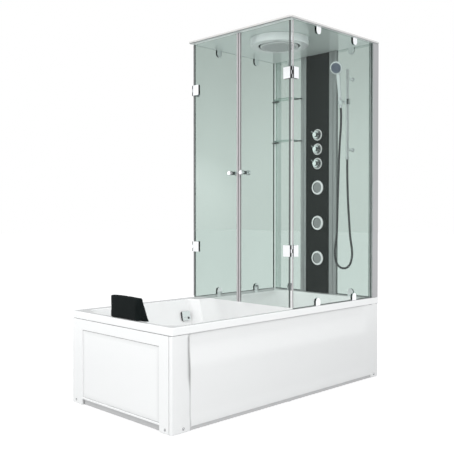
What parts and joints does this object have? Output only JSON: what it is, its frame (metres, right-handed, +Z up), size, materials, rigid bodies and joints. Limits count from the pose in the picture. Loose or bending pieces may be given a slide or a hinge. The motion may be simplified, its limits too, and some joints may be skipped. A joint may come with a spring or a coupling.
{
  "type": "shower cabin",
  "caption": "Full-length bath tub with a square glass shower cubicle over one half: swing doors, roof with rain shower, wall column with mixers and jets, shelves and hand shower.",
  "frame": {"origin": "centre of the footprint on the floor", "axes": "+Z up, +X along the tub from the headrest to the wall column, -Y towards the long side with the panel"},
  "size_m": [1.7, 0.835, 2.1],
  "materials": {
    "acrylic": "glossy white",
    "clear_glass": "clear, faint green",
    "black_glass": "glossy dark grey-green",
    "chrome": "polished",
    "aluminium": "satin",
    "dark_profile": "satin dark grey",
    "steel": "zinc grey",
    "plastic": "matt grey",
    "cushion": "smooth black",
    "seal": "translucent grey",
    "nozzle": "grey"
  },
  "bodies": {
    "cabin": {"base_frame": "steel", "clamp_end_front": "chrome", "clamp_end_rear": "chrome", "clamp_front_far": "chrome", "clamp_front_near": "chrome", "clamp_rear_far": "chrome", "clamp_rear_near": "chrome", "column_panel": "black_glass", "column_profile_front": "aluminium", "column_profile_rear": "aluminium", "corner_profile_front": "aluminium", "corner_profile_rear": "dark_profile", "end_glass_front": "clear_glass", "end_glass_rear": "clear_glass", "end_panel": "acrylic", "front_glass": "clear_glass", "front_panel": "acrylic", "headrest_pillow": "cushion", "hinge_fixed_front_lower": "chrome", "hinge_fixed_front_upper": "chrome", "hinge_fixed_rear_lower": "chrome", "hinge_fixed_rear_upper": "chrome", "jet_ring_lower": "chrome", "jet_ring_middle": "chrome", "jet_ring_upper": "chrome", "rain_canopy": "acrylic", "rain_head": "nozzle", "rear_glass": "clear_glass", "riser_rail": "chrome", "roof_panel": "acrylic", "shelf_lower": "clear_glass", "shelf_upper": "clear_glass", "shower_hose": "chrome", "tub_basin": "acrylic", "valve_ring_lower": "chrome", "valve_ring_middle": "chrome", "valve_ring_upper": "chrome", "waste_kit": "plastic"},
    "door_front": {"door_glass_front": "clear_glass", "door_seal_front": "seal", "door_knob_front": "chrome", "hinge_door_front_lower": "chrome", "hinge_door_front_upper": "chrome"},
    "door_rear": {"door_glass_rear": "clear_glass", "door_seal_rear": "seal", "door_knob_rear": "chrome", "hinge_door_rear_lower": "chrome", "hinge_door_rear_upper": "chrome"},
    "slider": {"slider": "chrome"},
    "cradle": {"cradle": "chrome"},
    "hand_shower": {"hand_shower": "chrome"},
    "overflow_cap": {"overflow_cap": "chrome"},
    "drain_plug": {"drain_plug": "chrome"},
    "valve_lower": {"valve_knob_lower": "chrome"},
    "valve_middle": {"valve_knob_middle": "chrome"},
    "valve_upper": {"valve_knob_upper": "chrome"},
    "jet_lower": {"jet_nozzle_lower": "nozzle"},
    "jet_middle": {"jet_nozzle_middle": "nozzle"},
    "jet_upper": {"jet_nozzle_upper": "nozzle"}
  },
  "joints": [
    {"name": "door_front_swing", "type": "hinge", "parent": "cabin", "child": "door_front", "pos_m": [0.022, -0.3995, 0], "axis": [0, 0, 1], "range_deg": [0, 90]},
    {"name": "door_rear_swing", "type": "hinge", "parent": "cabin", "child": "door_rear", "pos_m": [0.022, 0.409, 0], "axis": [0, 0, -1], "range_deg": [0, 90]},
    {"name": "valve_lower_turn", "type": "hinge", "parent": "cabin", "child": "valve_lower", "pos_m": [0.7823, 0.016, 1.36], "axis": [-1, 0, 0], "range_deg": [-90, 90]},
    {"name": "valve_middle_turn", "type": "hinge", "parent": "cabin", "child": "valve_middle", "pos_m": [0.7823, 0.016, 1.4552], "axis": [-1, 0, 0], "range_deg": [-90, 90]},
    {"name": "valve_upper_turn", "type": "hinge", "parent": "cabin", "child": "valve_upper", "pos_m": [0.7823, 0.016, 1.5504], "axis": [-1, 0, 0], "range_deg": [0, 240]},
    {"name": "jet_lower_tilt", "type": "hinge", "parent": "cabin", "child": "jet_lower", "pos_m": [0.7856, 0.016, 0.73], "axis": [0, 1, 0], "range_deg": [-12, 12]},
    {"name": "jet_middle_tilt", "type": "hinge", "parent": "cabin", "child": "jet_middle", "pos_m": [0.7856, 0.016, 0.965], "axis": [0, 1, 0], "range_deg": [-12, 12]},
    {"name": "jet_upper_tilt", "type": "hinge", "parent": "cabin", "child": "jet_upper", "pos_m": [0.7856, 0.016, 1.2], "axis": [0, 1, 0], "range_deg": [-12, 12]},
    {"name": "slider_travel", "type": "slide", "parent": "cabin", "child": "slider", "axis": [0, 0, 1], "range_m": [-0.265, 0.045], "deforming": ["shower_hose"]},
    {"name": "cradle_tilt", "type": "hinge", "parent": "slider", "child": "cradle", "pos_m": [0.71741, -0.21407, 1.732], "axis": [0.2079, -0.9781, 0], "range_deg": [-6, 36], "deforming": ["shower_hose"]},
    {"name": "hand_shower_lift", "type": "slide", "parent": "cradle", "child": "hand_shower", "axis": [-0.2034, -0.0432, 0.9781], "range_m": [0, 0.048], "deforming": ["shower_hose"]},
    {"name": "overflow_cap_turn", "type": "hinge", "parent": "cabin", "child": "overflow_cap", "pos_m": [-0.108, 0.33884, 0.4002], "axis": [0, -0.9754, 0.2204], "range_deg": [0, 90]},
    {"name": "drain_plug_lift", "type": "slide", "parent": "cabin", "child": "drain_plug", "axis": [0, 0, 1], "range_m": [0, 0.01]}
  ],
  "couplings": [
    {"joint": "drain_plug_lift", "follows": "overflow_cap_turn", "m_per_rad": 0.00636}
  ]
}
